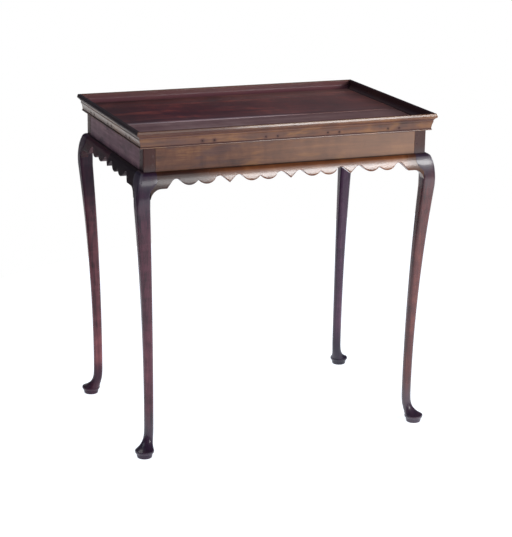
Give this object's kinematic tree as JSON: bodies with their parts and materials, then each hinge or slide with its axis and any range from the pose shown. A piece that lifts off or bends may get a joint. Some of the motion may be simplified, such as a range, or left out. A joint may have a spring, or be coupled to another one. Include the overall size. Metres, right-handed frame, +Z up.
{
  "type": "tray top tea table",
  "caption": "Rectangular wooden tea table with a moulded tray rim, plain friezes, scalloped aprons and slender cabriole legs on pad feet.",
  "frame": {"origin": "on the floor, under the middle of the table", "axes": "+Z up, +X along the long side to the right as seen from the front, +Y from front to back"},
  "size_m": [0.6716, 0.4516, 0.7],
  "materials": {
    "tray_floor": "dark red-brown mahogany, waxed, with soft gloss",
    "gallery_rim": "red-brown mahogany, worn bright along the nose",
    "frieze": "warm brown mahogany, waxed",
    "legs": "dark red-brown mahogany, polished by handling",
    "aprons": "red-brown mahogany, waxed, dark in the frets",
    "blocks": "bare oxidised softwood",
    "pegs": "dark hardwood, flush with the posts",
    "ironwork": "blackened wrought iron"
  },
  "bodies": {
    "root": {"tray_board_front": "tray_floor", "tray_board_back": "tray_floor", "rim_front": "gallery_rim", "rim_back": "gallery_rim", "rim_left": "gallery_rim", "rim_right": "gallery_rim", "rail_front": "frieze", "rail_back": "frieze", "rail_left": "frieze", "rail_right": "frieze", "leg_front_left": "legs", "leg_front_right": "legs", "leg_back_left": "legs", "leg_back_right": "legs", "apron_front": "aprons", "apron_back": "aprons", "apron_left": "aprons", "apron_right": "aprons", "bracket_front_left_long": "aprons", "bracket_front_left_end": "aprons", "bracket_front_right_long": "aprons", "bracket_front_right_end": "aprons", "bracket_back_left_long": "aprons", "bracket_back_left_end": "aprons", "bracket_back_right_long": "aprons", "bracket_back_right_end": "aprons", "glue_blocks_front": "blocks", "glue_blocks_back": "blocks", "glue_blocks_left": "blocks", "glue_blocks_right": "blocks", "tenon_pegs": "pegs", "top_screws": "ironwork", "rim_nails": "ironwork"}
  },
  "joints": []
}
